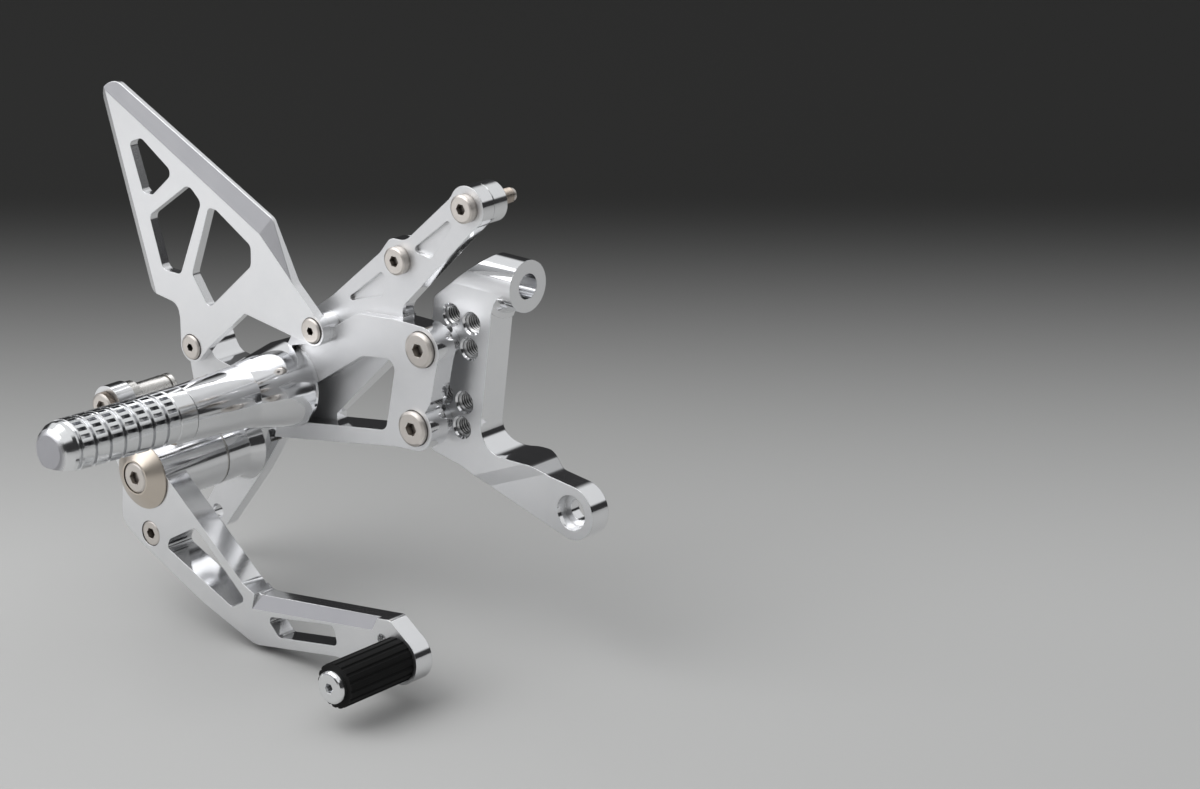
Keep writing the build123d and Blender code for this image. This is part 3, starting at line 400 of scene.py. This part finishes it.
# Heel guard: cut from 4 mm aluminium plate and held by two bolts. Its face is even and satin, and
# the wide bevel along its front edge is brighter from the cutter.
# Its hollows get a painted shade of mid grey.
dress(["heel_guard"], milled_aluminium(
    "milled_aluminium_guard", face=0.36, side=0.2, flat_from=0.97, step=0.0007, centre=(0.1, 0, -0.5),
    reach=0.005, open_from=0.5, painted_shade_colour="#6C6A68",
))

# Brake pedal: one piece of aluminium milled from solid, with a satin face and bright sides. Its hub
# is turned and buffed. A wide painted shade darkens its hollows and the side under the peg sleeve.
dress(["brake_pedal"], milled_aluminium(
    "milled_aluminium_pedal", face=0.34, side=0.1, flat_from=0.985, step=0.0008, centre=(-0.3, 0, 0.3),
    reach=0.025, open_from=0.6, painted_shade_colour="#37373A",
))

# Foot peg, collars and toe cap screw: aluminium turned on a lathe and buffed. The peg's grip is cut
# with rings and slots, and its flat end is left matt.
PEG_END = -0.1505
END_DEPTH = 0.0012
# Buffed aluminium: close to a mirror, with faint rings. The real ones are about 0.1 mm apart, and
# these are coarser, so that they show.
buffed, tree = material("turned_aluminium")
place = add(tree, "TexCoord")
along = add(tree, "Mapping", {"Scale": (0.02, 1, 0.02)}, {"Vector": place.outputs["Object"]})
rings = add(tree, "TexNoise", {"Scale": every(0.4), "Detail": 2}, {"Vector": along.outputs[0]})
rub = add(tree, "TexNoise", {"Scale": every(8.3), "Detail": 4}, {"Vector": place.outputs["Object"]})
rough = add(tree, "MapRange", {"To Min": 0.08, "To Max": 0.2}, {"Value": rub.outputs["Fac"]})
# Painted shade: the grip's slots and other hollows darken to a grey.
hollow = add(tree, "AmbientOcclusion", {"samples": 5, "Distance": 0.002})
shade = add(tree, "MapRange", {"From Min": 0.3, "From Max": 0.7}, {"Value": hollow.outputs["AO"]})
tint = add(
    tree, "Mix", {"data_type": "RGBA", 6: linear("#A2A3A6"), 7: linear("#F0F1F2")},
    {"Factor": shade.outputs[0]},
)
spot = add(tree, "SeparateXYZ", links={"Vector": place.outputs["Object"]})
tip = add(
    tree, "MapRange", {"From Min": PEG_END + END_DEPTH, "From Max": PEG_END}, {"Value": spot.outputs["Y"]},
)
tint = add(
    tree, "Mix", {"data_type": "RGBA", 7: linear("#B4B4B8")}, {"Factor": tip.outputs[0], 6: tint.outputs[2]},
)
matt = add(tree, "MapRange", {"To Min": 0.0, "To Max": 0.4}, {"Value": tip.outputs[0]})
rough = add(tree, "Math", {"operation": "ADD"}, {0: rough.outputs[0], 1: matt.outputs[0]})
edge = add(tree, "Bevel", {"samples": 4, "Radius": 0.00025})
bump = add(
    tree, "Bump", {"Strength": 0.1, "Distance": 0.00002},
    {"Height": rings.outputs["Fac"], "Normal": edge.outputs[0]},
)
surface(tree, add(
    tree, "BsdfPrincipled", {"Metallic": 1},
    {"Base Color": tint.outputs[2], "Roughness": rough.outputs[0], "Normal": bump.outputs[0]},
))
dress(["footpeg", "master_collars", "toe_screw"], buffed)

# Bolts and small screws: cold-headed A2 stainless steel, bead-blasted, with broached hex sockets. They
# hold the bracket, the guard, the master cylinder, the pivot and the foot peg.


def blasted_stainless(name, colour, roughness):
    """Bead-blasted stainless steel: a soft, slightly warm grey, and a painted shade, near black, deep in a
    socket.
    """
    spread = 0.06
    made, tree = material(name)
    place = add(tree, "TexCoord")
    # The real dimples are about 0.1 mm across, and these are coarser, so that they show.
    dimples = add(tree, "TexNoise", {"Scale": every(0.31), "Detail": 2}, {"Vector": place.outputs["Object"]})
    stain = add(tree, "TexNoise", {"Scale": every(2.9), "Detail": 4}, {"Vector": place.outputs["Object"]})
    # Painted shade: deep in sockets and crevices the colour darkens to a near-black brown.
    hollow = add(tree, "AmbientOcclusion", {"samples": 6, "Distance": 0.003})
    depth = add(tree, "MapRange", {"From Min": 0.35, "From Max": 0.75}, {"Value": hollow.outputs["AO"]})
    tone = add(
        tree, "Mix", {"data_type": "RGBA", 6: linear("#3A302A"), 7: linear(colour)},
        {"Factor": depth.outputs[0]},
    )
    rough = add(
        tree, "MapRange", {"To Min": roughness - spread, "To Max": roughness + spread},
        {"Value": stain.outputs["Fac"]},
    )
    edge = add(tree, "Bevel", {"samples": 4, "Radius": 0.00025})
    bump = add(
        tree, "Bump", {"Strength": 0.15, "Distance": 0.00003},
        {"Height": dimples.outputs["Fac"], "Normal": edge.outputs[0]},
    )
    surface(tree, add(
        tree, "BsdfPrincipled", {"Metallic": 1},
        {"Base Color": tone.outputs[2], "Roughness": rough.outputs[0], "Normal": bump.outputs[0]},
    ))
    return made


bolt_steel = blasted_stainless("blasted_stainless_bolts", "#DDD7D1", 0.36)
BOLTS = [
    "bracket_bolts", "guard_bolts", "master_bolts", "pivot_bolt", "flush_screw", "peg_bolt",
    "pushrod_screw",
]
dress(BOLTS, bolt_steel)

# Cone washer at the pivot: turned from stainless steel and clamped by the pivot bolt, which sits in
# its recess. It is satin, and a little darker than the bolts.
dress(["cone_washer"], blasted_stainless("satin_stainless_washer", "#D3C9BD", 0.32))

# Pins, pivot sleeve, toe core and thrust washer: ground and tumbled steel. The return spring beside
# them, inside the hub, is wound from dark drawn wire.
GROUND_PIECES = ["pushrod_pin", "toe_core", "stop_pin", "pivot_sleeve", "thrust_washer"]
dress(GROUND_PIECES, blasted_stainless("ground_steel_pins", "#CFCDC9", 0.26))
dress(["return_spring"], blasted_stainless("drawn_spring_wire", "#6E6862", 0.34))

# Threads on the free ends of the master cylinder bolts: M6 x 1.0, rolled on the stainless shank. Each
# is one helical ridge that stands on the solid, which is at the thread's root. It starts just behind
# the collar and stops just before the bolt's end.
stud_steel = blasted_stainless("rolled_stainless_thread", "#B9AEA3", 0.34)
mounts = {mount["name"]: mount["pos_m"] for mount in frame["record"]["mounts"]}
STUD_ENDS = {"lower_stud_thread": "lower_master_stud", "upper_stud_thread": "master_studs"}
THREAD_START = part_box("master_collars")[1][1] + 0.0002
THREAD_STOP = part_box("master_bolts")[1][1] - 0.0004
for name, mount in STUD_ENDS.items():
    x, _, z = mounts[mount]
    ridge = thread(
        name, (x, z), outer=THREAD_START, length=THREAD_STOP - THREAD_START, wall=0.00256,
        crest=0.00296, pitch=0.001,
    )
    ridge.data.materials.append(stud_steel)
    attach(ridge, "bracket")

# Knurl of the pushrod screw: straight ridges rolled round its cylindrical steel head. They take a
# darker copy of the bolt steel as painted shade, and painted shade between their crests. The screw
# shares its axis with the pushrod pin.
KNURL_COUNT = 52
KNURL_RADIUS = 0.0056
KNURL_HEIGHT = 0.00022
LEVER_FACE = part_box("brake_pedal")[0][1]
KNURL_ENDS = (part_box("pushrod_screw")[0][1] + 0.0005, LEVER_FACE - 0.0002)
axis_x, _, axis_z = mounts["pushrod_pin"]
form = bmesh.new()
for index in range(KNURL_COUNT):
    rows = []
    for y in KNURL_ENDS:
        row = []
        for share, rise in ((-0.5, 0), (0, KNURL_HEIGHT), (0.5, 0)):
            angle = tau * (index + share) / KNURL_COUNT
            x = axis_x + (KNURL_RADIUS + rise) * cos(angle)
            z = axis_z + (KNURL_RADIUS + rise) * sin(angle)
            row.append(form.verts.new((x, y, z)))
        rows.append(row)
    for side in range(2):
        form.faces.new((rows[0][side], rows[0][side + 1], rows[1][side + 1], rows[1][side]))
    form.faces.new(rows[0])
    form.faces.new(rows[1])
bmesh.ops.recalc_face_normals(form, faces=form.faces)
mesh = bpy.data.meshes.new("pushrod_screw_knurl")
form.to_mesh(mesh)
form.free()
# The knurl's darker steel colour is a painted shade.
mesh.materials.append(blasted_stainless("knurled_stainless_painted_shade", "#857B71", 0.3))
knurl = bpy.data.objects.new("pushrod_screw_knurl", mesh)
bpy.context.collection.objects.link(knurl)
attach(knurl, "pedal")

# Locating stud beside the toe rubber: a small aluminium stud with a low round head, pressed in the
# lever's face and buffed.
STUD_CENTRE = (-0.0029, -0.1197)
STUD_RADIUS = 0.0021
STUD_HEIGHT = 0.0009
form = bmesh.new()
bmesh.ops.create_uvsphere(form, u_segments=32, v_segments=12, radius=STUD_RADIUS)
for vert in form.verts:
    x, y, z = vert.co
    vert.co = (STUD_CENTRE[0] + x, LEVER_FACE - abs(z) / STUD_RADIUS * STUD_HEIGHT, STUD_CENTRE[1] + y)
for part in form.faces:
    part.smooth = True
mesh = bpy.data.meshes.new("locating_stud")
form.to_mesh(mesh)
form.free()
mesh.materials.append(buffed)
stud = bpy.data.objects.new("locating_stud", mesh)
bpy.context.collection.objects.link(stud)
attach(stud, "pedal")

# Pivot bushes: sintered bronze, filled with oil and pressed in the pedal's hub. The pressed powder
# leaves a dull brown-gold face with fine pores.
bronze, tree = material("sintered_bronze")
place = add(tree, "TexCoord")
pores = add(tree, "TexVoronoi", {"Scale": every(0.25)}, {"Vector": place.outputs["Object"]})
bump = add(tree, "Bump", {"Strength": 0.3, "Distance": 0.00003}, {"Height": pores.outputs["Distance"]})
surface(tree, add(
    tree, "BsdfPrincipled", {"Metallic": 1, "Base Color": linear("#B58A55"), "Roughness": 0.4},
    {"Normal": bump.outputs[0]},
))
dress(["outer_bush", "inner_bush"], bronze)

# Toe rubber: a ribbed sleeve of moulded black nitrile on the toe core. Its skin is fine and matte,
# with a trace of dust.
nitrile, tree = material("moulded_nitrile_rubber")
place = add(tree, "TexCoord")
skin = add(tree, "TexNoise", {"Scale": every(0.38), "Detail": 3}, {"Vector": place.outputs["Object"]})
dust = add(tree, "TexNoise", {"Scale": every(4.5), "Detail": 5}, {"Vector": place.outputs["Object"]})
tone = add(
    tree, "Mix", {"data_type": "RGBA", 6: linear("#0B0B0B"), 7: linear("#151515")},
    {"Factor": dust.outputs["Fac"]},
)
bump = add(tree, "Bump", {"Strength": 0.25, "Distance": 0.00005}, {"Height": skin.outputs["Fac"]})
surface(tree, add(
    tree, "BsdfPrincipled", {"Roughness": 0.66, "Specular IOR Level": 0.22},
    {"Base Color": tone.outputs[2], "Normal": bump.outputs[0]},
))
dress(["toe_rubber"], nitrile)
